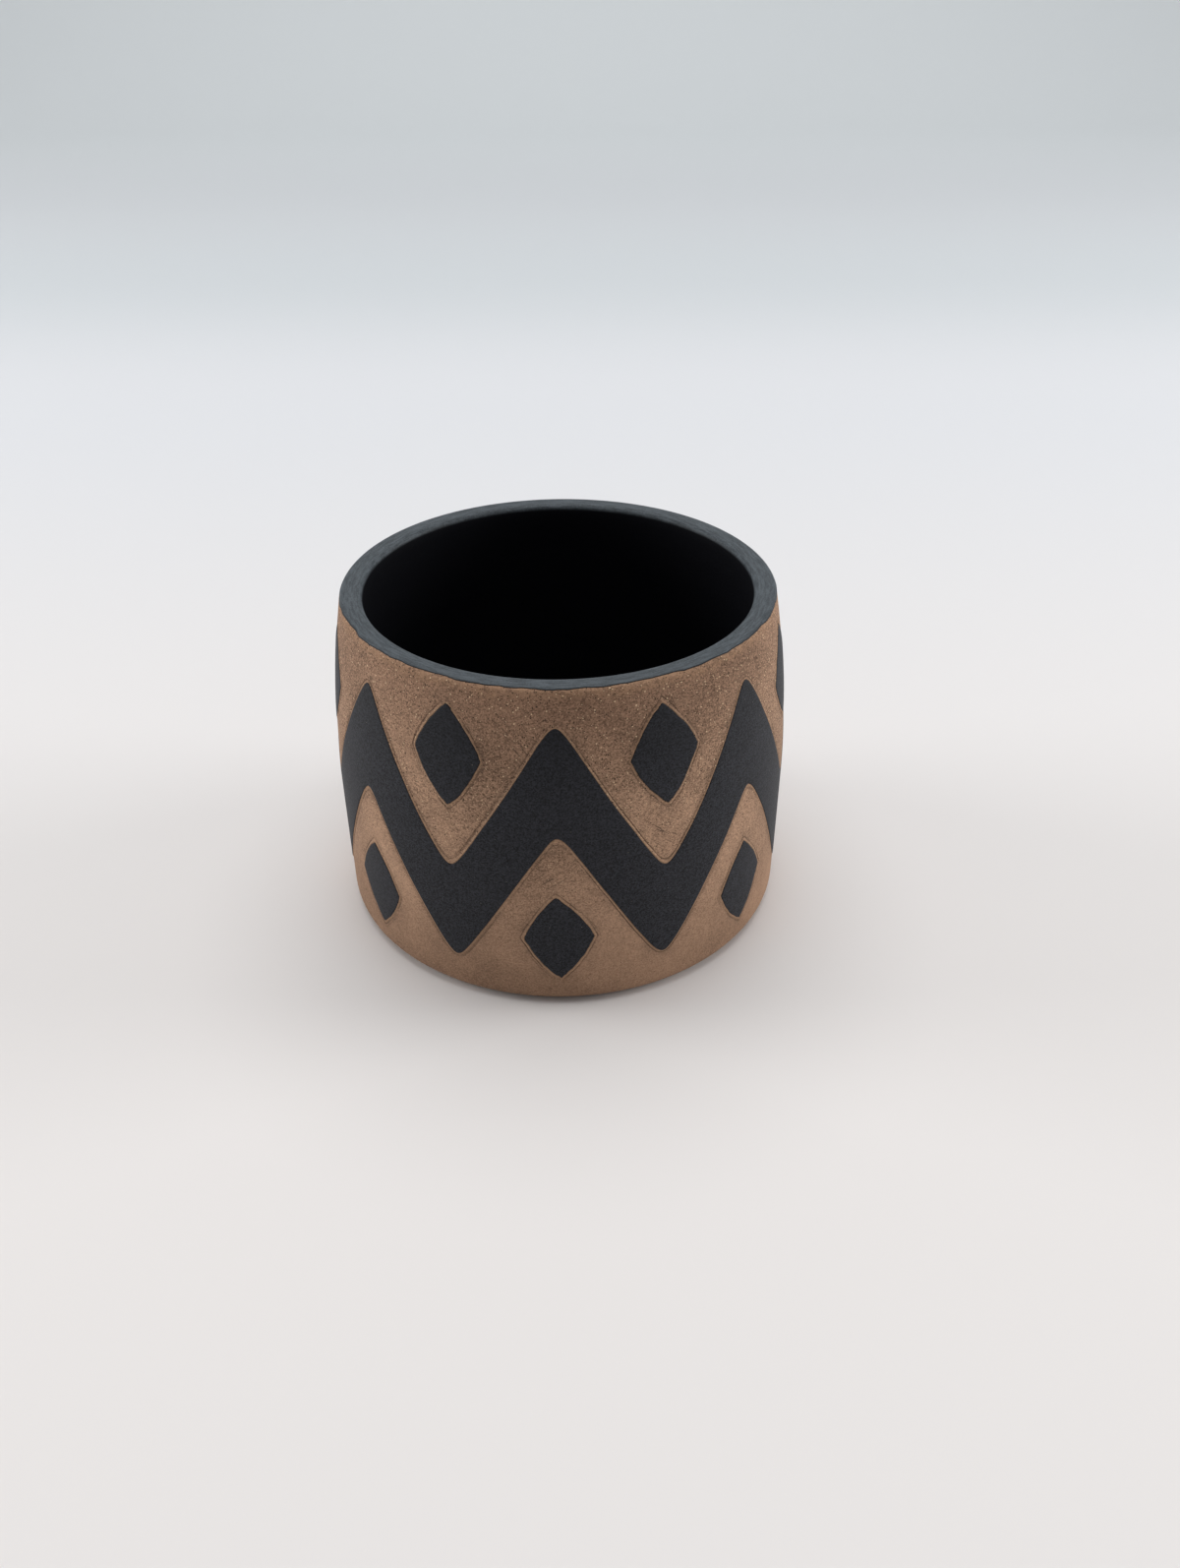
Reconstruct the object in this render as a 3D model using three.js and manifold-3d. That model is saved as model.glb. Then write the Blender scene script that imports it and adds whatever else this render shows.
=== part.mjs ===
// A wheel-thrown stoneware tumbler, standing on the plane z = 0 and turned about the z axis, in millimetres.
// The clay body is a cup with a straight lower wall, a shoulder that leans in to the rim, and a trimmed foot ring.
// Its outside has shallow recesses that hold fields of black slip: one zigzag band right round the wall, and a
// lozenge in each bay above and below it. A black glaze lines the inside and covers the top of the rim.
import * as THREE from "three";
import { mergeVertices } from "three/addons/utils/BufferGeometryUtils.js";
import Module from "manifold-3d";

const wasm = await Module();
wasm.setup();

// Sizes of the vessel.
const HEIGHT = 67;
const BELLY_RADIUS = 45;
const BELLY_TOP = 28; // the wall is straight up to here and leans in above
const RIM_RADIUS = 41.3;
const CLAY_WALL = 4.2;
const CLAY_FLOOR = 4.5;
const FLOOR_CORNER = 9; // inside, where the wall turns into the floor
const RIM_OUTER_ROUND = 0.6; // bare clay, and the glaze ends on top of it
const RIM_INNER_ROUND = 1.2;

// Sizes of the trimmed foot.
const FOOT_CORNER = 3.5;
const FOOT_RING_WIDTH = 5.5;
const FOOT_RECESS = 1.5;
const FOOT_RECESS_SLOPE = 2.5; // how far in the recess takes to reach its depth

// Lining glaze.
const GLAZE = 0.4;
const GLAZE_EDGE_ROUND = 0.3;

// Slip fields.
const SLIP = 0.6;
const ENGRAVED_GAP = 0.3; // the engraved line that is left open round each field, and the bedding under it
const REPEATS = 7;
const BAND_HEIGHT = 21; // from the lower edge to the upper one, measured up the wall
const BAND_MARGIN = 6; // bare clay between its peaks and the rim's round, and between its valleys and the foot's corner
const BAND_TIP_SOFTNESS = 0.03; // 0 gives sharp tips, and more rounds them
const LOZENGE_WIDTH = 13;
const LOZENGE_POWER = 1.22; // 1 gives straight sides, and more swells them
const LOZENGE_MARGIN = 3.5; // from its outer tip to the rim's round or to the foot's corner
const LOZENGE_BAND_GAP = 13; // from its inner tip to the band

// Facets.
const LATHE_STEPS = 64;
const CORNER_STEPS = 3;
const WALL_STEPS = 4;
const BAND_STEPS = 16; // in each repeat
const BAND_ROWS = 2;
const BAND_CROWDING = 0.35; // how much its columns gather at the tips, which are the tightest bends
const LOZENGE_STEPS = 16;
const CUTTER_REACH = 2; // how far a recess cutter stands out of the wall

// The upper wall is one arc that starts upright at BELLY_TOP and passes through the rim.
const shoulderRise = HEIGHT - BELLY_TOP;
const shoulderLean = BELLY_RADIUS - RIM_RADIUS;
const shoulderCurvature = (2 * shoulderLean) / (shoulderRise ** 2 + shoulderLean ** 2);

// The wall's outside radius at a height: the belly's radius less how far the arc has leaned in.
function outerRadius(z) {
  const above = Math.max(0, z - BELLY_TOP);
  const lean = (shoulderCurvature * above ** 2) / (1 + Math.sqrt(1 - (shoulderCurvature * above) ** 2));
  return BELLY_RADIUS - lean;
}

function between(from, to, steps, place) {
  return Array.from({ length: steps + 1 }, (_, i) => place(from + ((to - from) * i) / steps));
}

// Points on an arc, from one angle to the other, in degrees.
function arc(x, y, radius, from, to, steps = CORNER_STEPS) {
  return between(from, to, steps, (degrees) => {
    const a = THREE.MathUtils.degToRad(degrees);
    return new THREE.Vector2(x + radius * Math.cos(a), y + radius * Math.sin(a));
  });
}

// Each point moved sideways, to the left of its direction of travel, so that a skin has one thickness.
function offset(points, distance) {
  return points.map((point, i) => {
    const before = points[Math.max(0, i - 1)];
    const after = points[Math.min(points.length - 1, i + 1)];
    const into = i > 0 ? point.clone().sub(before).normalize() : after.clone().sub(point).normalize();
    const out = i < points.length - 1 ? after.clone().sub(point).normalize() : into.clone();
    const left = new THREE.Vector2(-(into.y + out.y), into.x + out.x).normalize();
    const mitre = distance / Math.max(0.5, left.dot(new THREE.Vector2(-into.y, into.x)));
    return point.clone().addScaledVector(left, mitre);
  });
}

// A profile of (radius, height) points turned about the z axis.
function turned(profile) {
  return new THREE.LatheGeometry(profile, LATHE_STEPS).rotateX(Math.PI / 2);
}

// A closed geometry as a solid that can be cut.
function solidOf(geometry) {
  const bare = geometry.clone();
  bare.deleteAttribute("normal");
  bare.deleteAttribute("uv");
  const merged = mergeVertices(bare, 1e-4);
  const corners = merged.index.array;
  const kept = [];
  for (let i = 0; i < corners.length; i += 3) {
    const [a, b, c] = corners.slice(i, i + 3);
    if (a !== b && b !== c && c !== a) kept.push(a, b, c);
  }
  return new wasm.Manifold(
    new wasm.Mesh({
      numProp: 3,
      vertProperties: new Float32Array(merged.attributes.position.array),
      triVerts: new Uint32Array(kept),
    }),
  );
}

function geometryOf(solid) {
  const { vertProperties, triVerts } = solid.getMesh();
  const geometry = new THREE.BufferGeometry()
    .setAttribute("position", new THREE.BufferAttribute(vertProperties, 3))
    .setIndex(new THREE.BufferAttribute(triVerts, 1))
    .toNonIndexed();
  geometry.computeVertexNormals();
  return geometry;
}

// The clay's profile, in the three stretches that the pieces share.
const clayTop = HEIGHT - GLAZE;
const floorZ = FOOT_RECESS + CLAY_FLOOR;
const ringInner = BELLY_RADIUS - FOOT_CORNER - FOOT_RING_WIDTH;
const wallTop = clayTop - RIM_OUTER_ROUND;

function underside() {
  return [
    new THREE.Vector2(0, FOOT_RECESS),
    new THREE.Vector2(ringInner - FOOT_RECESS_SLOPE, FOOT_RECESS),
    new THREE.Vector2(ringInner, 0),
    ...arc(BELLY_RADIUS - FOOT_CORNER, FOOT_CORNER, FOOT_CORNER, -90, 0),
  ];
}

// The outside wall, and the rim's outer round up to its top.
function outsideWall() {
  const straight = new THREE.Vector2(BELLY_RADIUS, BELLY_TOP);
  const leaning = between(BELLY_TOP, wallTop, WALL_STEPS, (z) => new THREE.Vector2(outerRadius(z), z));
  const round = arc(outerRadius(wallTop) - RIM_OUTER_ROUND, wallTop, RIM_OUTER_ROUND, 0, 90);
  return [straight, ...leaning.slice(1), ...round.slice(1)];
}

// From the top of that round over the rim, down the inside and across the floor to the axis.
function glazedFace() {
  const inner = outerRadius(wallTop) - CLAY_WALL;
  const cornerTop = floorZ + FLOOR_CORNER;
  const innerWall = between(clayTop - RIM_INNER_ROUND, cornerTop, WALL_STEPS, (z) => {
    return new THREE.Vector2(outerRadius(z) - CLAY_WALL, z);
  });
  const cornerX = outerRadius(cornerTop) - CLAY_WALL - FLOOR_CORNER;
  return [
    new THREE.Vector2(outerRadius(wallTop) - RIM_OUTER_ROUND, clayTop),
    ...arc(inner + RIM_INNER_ROUND, clayTop - RIM_INNER_ROUND, RIM_INNER_ROUND, 90, 180).slice(0, -1),
    ...innerWall.slice(0, -1),
    ...arc(cornerX, cornerTop, FLOOR_CORNER, 0, -90),
    new THREE.Vector2(0, floorZ),
  ];
}

// The band fills the wall between its two margins.
const bandLow = FOOT_CORNER + BAND_MARGIN;
const bandHigh = wallTop - BAND_MARGIN;
const bandSwing = (bandHigh - bandLow - BAND_HEIGHT) / 2;

// Height of the band's middle line. It is a triangle wave with softened tips, one wave for each turn of phase.
function zigzag(phase) {
  const tip = 1 - BAND_TIP_SOFTNESS;
  return (bandLow + bandHigh) / 2 + (bandSwing * Math.asin(tip * Math.sin(phase))) / Math.asin(tip);
}

// A point on the vessel's outside at an angle and a height, moved out by a distance.
function onWall(angle, z, out) {
  const radius = outerRadius(z) + out;
  return [radius * Math.cos(angle), radius * Math.sin(angle), z];
}

// Two faces of one grid or fan, joined round their open edges into a closed geometry.
function closedBetween(outside, inside, faces, edges) {
  const count = outside.length;
  const index = [];
  for (const [a, b, c] of faces) {
    index.push(a, b, c, count + a, count + c, count + b);
  }
  for (const [a, b] of edges) {
    index.push(b, a, count + b, a, count + a, count + b);
  }
  const geometry = new THREE.BufferGeometry();
  geometry.setAttribute("position", new THREE.Float32BufferAttribute([...outside, ...inside].flat(), 3));
  geometry.setIndex(index);
  return geometry.toNonIndexed();
}

// The zigzag band between two depths in the wall, its edges moved out by grow.
function band(grow, inner, outer) {
  const columns = BAND_STEPS * REPEATS;
  const slope = (2 * bandSwing) / ((Math.PI * BELLY_RADIUS) / REPEATS);
  const half = BAND_HEIGHT / 2 + grow * Math.hypot(1, slope);
  const grid = (out) =>
    between(0, columns - 1, columns - 1, (i) => {
      const even = (i / BAND_STEPS) * 2 * Math.PI;
      const phase = even + BAND_CROWDING * Math.sin(2 * even);
      const middle = zigzag(phase);
      return between(middle - half, middle + half, BAND_ROWS, (z) => onWall(phase / REPEATS, z, out));
    }).flat();
  const faces = [];
  const edges = [];
  const stride = BAND_ROWS + 1;
  for (let i = 0; i < columns; i++) {
    const here = i * stride;
    const next = ((i + 1) % columns) * stride;
    for (let j = 0; j < BAND_ROWS; j++) {
      faces.push([here + j, next + j, next + j + 1], [here + j, next + j + 1, here + j + 1]);
    }
    edges.push([here, next], [next + BAND_ROWS, here + BAND_ROWS]);
  }
  return closedBetween(grid(outer), grid(inner), faces, edges);
}

// A lozenge at angle 0 from one height to another, between two depths in the wall, its edges moved out by grow.
function lozenge(low, high, grow, inner, outer) {
  const middleZ = (low + high) / 2;
  const height = high - low;
  const halfWidth = LOZENGE_WIDTH / 2 + grow * Math.hypot(1, LOZENGE_WIDTH / height);
  const halfHeight = height / 2 + grow * Math.hypot(1, height / LOZENGE_WIDTH);
  const bend = (value) => Math.sign(value) * Math.abs(value) ** (2 / LOZENGE_POWER);
  const fan = (out) => {
    const rings = [0.5, 1].map((share) =>
      between(0, LOZENGE_STEPS - 1, LOZENGE_STEPS - 1, (i) => {
        const turn = (i / LOZENGE_STEPS) * 2 * Math.PI;
        const across = share * halfWidth * bend(Math.cos(turn));
        return onWall(across / outerRadius(middleZ), middleZ + share * halfHeight * bend(Math.sin(turn)), out);
      }),
    );
    return [onWall(0, middleZ, out), ...rings.flat()];
  };
  const faces = [];
  const edges = [];
  for (let i = 0; i < LOZENGE_STEPS; i++) {
    const near = 1 + i;
    const nearNext = 1 + ((i + 1) % LOZENGE_STEPS);
    const far = near + LOZENGE_STEPS;
    const farNext = nearNext + LOZENGE_STEPS;
    faces.push([0, near, nearNext], [near, far, farNext], [near, farNext, nearNext]);
    edges.push([far, farNext]);
  }
  return closedBetween(fan(outer), fan(inner), faces, edges);
}

// The upper lozenges stand over the band's valleys, and the lower ones under its peaks.
const quarterRepeat = Math.PI / 2 / REPEATS;
const lozengeRows = [
  {
    row: "upper",
    start: -quarterRepeat,
    low: bandLow + BAND_HEIGHT + LOZENGE_BAND_GAP,
    high: wallTop - LOZENGE_MARGIN,
  },
  {
    row: "lower",
    start: quarterRepeat,
    low: FOOT_CORNER + LOZENGE_MARGIN,
    high: bandHigh - BAND_HEIGHT - LOZENGE_BAND_GAP,
  },
];

function lozengeAngle(start, i) {
  return start + (i * 2 * Math.PI) / REPEATS;
}

function clayBody() {
  const blank = turned([...underside(), ...outsideWall(), ...glazedFace()]);
  const depth = -(SLIP + ENGRAVED_GAP);
  let clay = solidOf(blank).subtract(solidOf(band(ENGRAVED_GAP, depth, CUTTER_REACH)));
  for (const { start, low, high } of lozengeRows) {
    const cutter = lozenge(low, high, ENGRAVED_GAP, depth, CUTTER_REACH);
    for (let i = 0; i < REPEATS; i++) {
      clay = clay.subtract(solidOf(cutter.clone().rotateZ(lozengeAngle(start, i))));
    }
  }
  return geometryOf(clay);
}

function liningGlaze() {
  const seat = glazedFace();
  const face = offset(seat, -GLAZE);
  const edge = arc(seat[0].x - GLAZE_EDGE_ROUND, HEIGHT - GLAZE_EDGE_ROUND, GLAZE_EDGE_ROUND, 0, 90);
  return turned([...seat.reverse(), ...edge, ...face.slice(1)]);
}

const clay = new THREE.MeshStandardMaterial({ color: "#866f5b", roughness: 0.88, metalness: 0 });
const glaze = new THREE.MeshStandardMaterial({ color: "#2a2c2f", roughness: 0.45, metalness: 0 });
const slip = new THREE.MeshStandardMaterial({ color: "#242528", roughness: 0.75, metalness: 0 });

function named(name, geometry, material) {
  const mesh = new THREE.Mesh(geometry, material);
  mesh.name = name;
  return mesh;
}

const tumbler = new THREE.Group();
tumbler.add(named("clay_body", clayBody(), clay));
tumbler.add(named("lining_glaze", liningGlaze(), glaze));
tumbler.add(named("slip_zigzag_band", band(0, -SLIP, 0), slip));
for (const { row, start, low, high } of lozengeRows) {
  const field = lozenge(low, high, 0, -SLIP, 0);
  for (let i = 0; i < REPEATS; i++) {
    const mesh = named(`slip_lozenge_${row}_${i + 1}`, field, slip);
    mesh.rotation.z = lozengeAngle(start, i);
    tumbler.add(mesh);
  }
}

export default tumbler;
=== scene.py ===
import bpy
import numpy as np
from mathutils import Matrix, Vector


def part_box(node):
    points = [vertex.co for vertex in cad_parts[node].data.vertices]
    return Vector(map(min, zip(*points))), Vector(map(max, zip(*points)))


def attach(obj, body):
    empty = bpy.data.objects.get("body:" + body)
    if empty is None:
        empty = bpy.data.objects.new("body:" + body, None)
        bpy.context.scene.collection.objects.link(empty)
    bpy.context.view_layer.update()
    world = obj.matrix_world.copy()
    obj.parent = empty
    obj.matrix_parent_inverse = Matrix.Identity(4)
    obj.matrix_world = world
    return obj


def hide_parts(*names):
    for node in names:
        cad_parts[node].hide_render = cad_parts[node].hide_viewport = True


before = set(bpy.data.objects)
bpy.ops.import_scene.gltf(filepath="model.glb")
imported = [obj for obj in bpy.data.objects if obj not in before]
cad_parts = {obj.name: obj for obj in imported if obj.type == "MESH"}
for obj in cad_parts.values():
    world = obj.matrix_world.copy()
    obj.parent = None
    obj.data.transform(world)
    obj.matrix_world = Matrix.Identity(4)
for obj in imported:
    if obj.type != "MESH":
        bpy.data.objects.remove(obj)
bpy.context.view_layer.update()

# Clay body. A cup of brown stoneware, thrown on a wheel and fired bare, standing on a trimmed foot ring.
# Round each black field the clay was scraped back by a fraction of a millimetre. That left a fine lip at the
# field's edge, which is painted paler as a highlight, and scored lines beside it, where the tool's corner
# ran.
MM = 0.001
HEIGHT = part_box("lining_glaze")[1].z / MM
FLOOR_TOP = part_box("lining_glaze")[0].z / MM
CLAY_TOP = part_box("clay_body")[1].z / MM
BELLY_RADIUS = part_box("clay_body")[1].y / MM
BELLY_TOP = 28.0
RIM_RADIUS = 41.3
CLAY_WALL = 4.2
FLOOR_CORNER = 9.0
RIM_OUTER_ROUND = 1.0
RIM_INNER_ROUND = 1.2
FOOT_CORNER = 3.5
FOOT_RING_INNER = 36.0
FOOT_RECESS = 1.5
FOOT_RECESS_SLOPE = 2.5
FOOT_FLAT_STEP = 1.8  # between the rings of points on the flat of the foot ring
TRIM_DEPTH = 0.22  # rings that the trimming tool left in the recess, and how far apart
TRIM_STEP = 4.0
CORNER_DROP = 0.1  # the rim's outer corner stands almost as high as the glaze
RIM_STEP_IN = 0.8  # from the outer round to the next ring of points on the clay's rim

band_low, band_high = (corner.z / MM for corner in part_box("slip_zigzag_band"))
REPEATS = sum(name.startswith("slip_lozenge_upper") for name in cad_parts)
BAND_HEIGHT = 21.0
BAND_TIP = 0.97  # 1 gives sharp tips
BAND_WANDER = 0.2
LOZENGE_WIDTH = 13.0
LOZENGE_POWER = 1.22  # 1 gives straight sides
LOZENGE_WANDER = 0.018  # as a share of its size
LOZENGE_TILT = 0.045  # radians

GROUND_DEPTH = 0.16  # the scraped clay lies this far under the slip
LIP_HEIGHT = 0.1
LIP_PLACE = 0.15
LIP_WIDTH = 0.13
SCORE_DEPTH = 0.14
SCORE_WIDTH = 0.085
SCORE_LINES = ((0.55, 0.62, 31), (0.92, 0.05, 32))  # place, pressure and seed: one all round, one fainter
SCORE_WANDER = 0.07
PRESSURE_WANDER = 0.4
CUT_REACH = 1.25
RECESS_DEPTH = 0.6
RECESS_CORNER = 0.5  # how deep the recess is right at its edge
RECESS_INSETS = (0.05, 0.4)  # how far inside the slip's edge the recess starts, and reaches its depth

COLUMNS = 64 * REPEATS
BAY_ROWS = 16
cut_steps = np.linspace(0, CUT_REACH, 18)
even = np.linspace(0, 2 * np.pi * REPEATS, COLUMNS, endpoint=False)
phase = even + 0.35 * np.sin(2 * even)  # columns gather at the zigzag's tips
angle = phase / REPEATS


def wall_radius(z):
    """Outside radius at a height: the belly's, less the lean of an arc that starts upright at BELLY_TOP."""
    rise, lean = HEIGHT - BELLY_TOP, BELLY_RADIUS - RIM_RADIUS
    curvature = 2 * lean / (rise**2 + lean**2)
    above = np.clip(z - BELLY_TOP, 0, None)
    return BELLY_RADIUS - curvature * above**2 / (1 + np.sqrt(1 - (curvature * above) ** 2))


def around(turn, radius, z):
    """Points at an angle about the axis, a radius and a height, each of which is an array or a number."""
    turn, radius, z = np.broadcast_arrays(turn, radius, z)
    return np.stack([radius * np.cos(turn), radius * np.sin(turn), z], axis=-1)


def wall_ring(z, depth):
    """A ring of points on the outside wall, one in each column, at a height and sunk by a depth."""
    return around(angle, wall_radius(z) - depth, z)


def turned(profile):
    """One flat ring of points, one in each column, for each radius and height of a profile."""
    return [around(angle, radius, z) for radius, z in profile]


def arc(x, z, radius, start, end, steps):
    """Radii and heights along an arc about (x, z), from one angle in degrees to another."""
    turn = np.radians(np.linspace(start, end, steps + 1))
    return np.stack([x + radius * np.cos(turn), z + radius * np.sin(turn)], axis=-1)


def wander(turn, seed, size):
    """How far a line drawn by hand strays: seeded sine waves added up, a whole number of each in a turn."""
    random = np.random.default_rng(seed)
    waves = np.array([2, 3, 5, 8, 13, 19, 31, 53, 83])
    starts = random.uniform(0, 2 * np.pi, len(waves))
    heights = random.uniform(0.3, 1.0, len(waves)) / waves**0.35
    return size * np.sin(np.multiply.outer(turn, waves) + starts) @ heights / np.linalg.norm(heights)


def zigzag(phase):
    """Height of the band's middle line: the arcsine of a sine, a triangle wave that BAND_TIP rounds off."""
    swing = (band_high - band_low - BAND_HEIGHT) / 2
    return (band_low + band_high) / 2 + swing * np.arcsin(BAND_TIP * np.sin(phase)) / np.arcsin(BAND_TIP)


def band_edge(phase, side):
    """Height of the band's lower edge, where side is -1, or upper one, where it is 1, with its straying."""
    return zigzag(phase) + side * BAND_HEIGHT / 2 + wander(phase / REPEATS, 20 + side, BAND_WANDER)


def edge_climb(phase, side):
    """Height that one millimetre across an edge takes up, the hypotenuse of 1 and its slope. Inside a bend
    the slope is the straight stretch's, so that lines beside it meet in a mitre. Outside they go round."""
    step = 1e-4
    slope = (zigzag(phase + step) - zigzag(phase - step)) / (2 * step) * REPEATS / BELLY_RADIUS
    straight = (zigzag(step) - zigzag(-step)) / (2 * step) * REPEATS / BELLY_RADIUS
    return np.hypot(1, np.where(side * np.sin(phase) < 0, straight, slope))


def scored(distance, turn):
    """How deep the scored lines are at a distance from a field, from 0 to 1. Each line is a bell curve
    about its place, and both the place and the pressure wander along the edge."""
    lines = []
    for place, pressure, seed in SCORE_LINES:
        off = (distance - place - wander(turn, seed, SCORE_WANDER)) / SCORE_WIDTH
        pressed = np.clip(pressure + wander(turn, seed + 10, PRESSURE_WANDER), 0, 1)
        lines.append(pressed * np.exp(-(off**2)))
    return np.maximum(*lines)


def scraped_depth(distance, turn):
    """Depth of the clay at a distance from a field: the scraped ground, less the lip, plus what is scored."""
    lip = LIP_HEIGHT * np.exp(-(((distance - LIP_PLACE) / LIP_WIDTH) ** 2))
    return GROUND_DEPTH - lip + SCORE_DEPTH * scored(distance, turn)


def lozenges():
    """Each lozenge's node, row, phase of the zigzag at its middle, height, half sizes, tilt and seed."""
    for row, start, row_seed in (("upper", -np.pi / 2, 100), ("lower", np.pi / 2, 200)):
        low, high = (corner.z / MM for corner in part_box(f"slip_lozenge_{row}_1"))
        for i in range(REPEATS):
            yield {
                "node": f"slip_lozenge_{row}_{i + 1}",
                "row": row,
                "phase": start + 2 * np.pi * i,
                "middle": (low + high) / 2,
                "half": np.array([LOZENGE_WIDTH / 2, (high - low) / 2]),
                "tilt": np.random.default_rng(row_seed + i).uniform(-LOZENGE_TILT, LOZENGE_TILT),
                "seed": row_seed + i,
            }


def lozenge_reach(field):
    """Distance from a lozenge's middle to its side: its half sizes' product over their hypotenuse."""
    return field["half"].prod() / np.hypot(*field["half"])


def lozenge_outline(field, turn, grow, share=1.0):
    """Angles and heights along a lozenge's outline, moved out by grow and then shrunk to a share. It is a
    tilted superellipse, whose two coordinates are signed powers of the turn's cosine and sine."""
    wave = np.stack([np.cos(turn), np.sin(turn)])
    shape = np.sign(wave) * np.abs(wave) ** (2 / LOZENGE_POWER)
    size = share * (1 + grow / lozenge_reach(field) + wander(turn, field["seed"], LOZENGE_WANDER))
    across, up = size * shape * field["half"][:, None]
    cos, sin = np.cos(field["tilt"]), np.sin(field["tilt"])
    turned_by = (across * cos - up * sin) / wall_radius(field["middle"])
    return field["phase"] / REPEATS + turned_by, field["middle"] + across * sin + up * cos


def lozenge_distance(field, turn, z):
    """Distance out from a lozenge's edge at an angle and a height: lozenge_outline worked backwards."""
    off = np.remainder(turn - field["phase"] / REPEATS + np.pi, 2 * np.pi) - np.pi
    x, y = off * wall_radius(field["middle"]), z - field["middle"]
    cos, sin = np.cos(field["tilt"]), np.sin(field["tilt"])
    shape = np.stack([x * cos + y * sin, y * cos - x * sin]) / field["half"][:, None]
    wave = np.sign(shape) * np.abs(shape) ** (LOZENGE_POWER / 2)
    size = (wave**2).sum(axis=0) ** (1 / LOZENGE_POWER)
    strayed = wander(np.arctan2(wave[1], wave[0]), field["seed"], LOZENGE_WANDER)
    return (size - 1 - strayed) * lozenge_reach(field)


def quads(index):
    """Four-sided faces between neighbouring rows of a table of point numbers, each row closed on itself."""
    beside = np.roll(index, -1, axis=1)
    return np.stack([index[:-1], beside[:-1], beside[1:], index[1:]], axis=-1)


def fan(ring, tip):
    """Three-sided faces from a closed ring of point numbers to a tip on the left of the ring's way."""
    return np.stack([ring, np.roll(ring, -1), np.full_like(ring, tip)], axis=-1)


# The underside, the foot ring and the foot's rounded corner, from the axis outwards.
slope_share = np.linspace(0, 1, 7)[1:]
recess_edge = FOOT_RING_INNER - FOOT_RECESS_SLOPE
recess_radii = np.linspace(2, recess_edge, 33)
trimmed = TRIM_DEPTH * (1 - np.cos(2 * np.pi * (recess_edge - recess_radii) / TRIM_STEP)) / 2
foot_profile = np.concatenate([
    np.stack([recess_radii, FOOT_RECESS - trimmed], axis=-1),
    np.stack([
        recess_edge + FOOT_RECESS_SLOPE * slope_share,
        FOOT_RECESS * (1 + np.cos(np.pi * slope_share)) / 2,
    ], axis=-1),
    [[FOOT_RING_INNER + step * FOOT_FLAT_STEP, 0] for step in (1, 2)],
    arc(BELLY_RADIUS - GROUND_DEPTH - FOOT_CORNER, FOOT_CORNER, FOOT_CORNER, -90, 0, 10),
])
rings = turned(foot_profile)

# The bay under the band, the cut beside the band's lower edge and the recess that the band lies in, whose
# rings stand at shares of the band's height.
wall_top = HEIGHT - CORNER_DROP - RIM_OUTER_ROUND
lower_edge, upper_edge = band_edge(phase, -1), band_edge(phase, 1)
lower_climb, upper_climb = edge_climb(phase, -1), edge_climb(phase, 1)
lower_bay = len(rings) - 1
bay_end = lower_edge - CUT_REACH * lower_climb
for share in np.linspace(0, 1, BAY_ROWS + 1)[1:]:
    rings.append(wall_ring(FOOT_CORNER + share * (bay_end - FOOT_CORNER), GROUND_DEPTH))
for distance in cut_steps[-2::-1]:
    rings.append(wall_ring(lower_edge - distance * lower_climb, scraped_depth(distance, angle)))
recess_shares = (0.004, 0.02, 0.35, 0.65, 0.98, 0.996)
for share in recess_shares:
    depth = RECESS_CORNER if share in (recess_shares[0], recess_shares[-1]) else RECESS_DEPTH
    rings.append(wall_ring(lower_edge + share * (upper_edge - lower_edge), depth))

# The cut beside the band's upper edge and the bay above it, up to the rim.
for distance in cut_steps[:-1]:
    rings.append(wall_ring(upper_edge + distance * upper_climb, scraped_depth(distance, angle)))
upper_bay = len(rings)
bay_start = upper_edge + CUT_REACH * upper_climb
for share in np.linspace(0, 1, BAY_ROWS + 1):
    rings.append(wall_ring(bay_start + share * (wall_top - bay_start), GROUND_DEPTH))

# The rim, the inner wall and the floor, which the glaze covers.
rim_outer = wall_radius(wall_top) - GROUND_DEPTH
rim_inner = wall_radius(CLAY_TOP - RIM_INNER_ROUND) - CLAY_WALL
corner_top = FLOOR_TOP + FLOOR_CORNER
inner_z = np.linspace(CLAY_TOP - RIM_INNER_ROUND, corner_top, 6)[1:-1]
corner_middle = wall_radius(corner_top) - CLAY_WALL - FLOOR_CORNER
rings += turned(np.concatenate([
    arc(rim_outer - RIM_OUTER_ROUND, wall_top, RIM_OUTER_ROUND, 10, 90, 8),
    [[rim_outer - RIM_OUTER_ROUND - RIM_STEP_IN, CLAY_TOP]],
    arc(rim_inner + RIM_INNER_ROUND, CLAY_TOP - RIM_INNER_ROUND, RIM_INNER_ROUND, 90, 180, 4),
    np.stack([wall_radius(inner_z) - CLAY_WALL, inner_z], axis=-1),
    arc(corner_middle, corner_top, FLOOR_CORNER, 0, -90, 5),
    [[18, FLOOR_TOP], [3, FLOOR_TOP]],
]))
body_grid = np.stack(rings)
body_index = np.arange(len(rings) * COLUMNS).reshape(len(rings), COLUMNS)
under_pole = body_index.size
floor_pole = under_pole + 1
body_points = [body_grid.reshape(-1, 3), [[0, 0, FOOT_RECESS], [0, 0, FLOOR_TOP]]]
body_faces = [fan(body_index[0, ::-1], under_pole), fan(body_index[-1], floor_pole)]
body_cells = quads(body_index)
kept_cells = np.ones(body_cells.shape[:2], bool)

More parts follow.
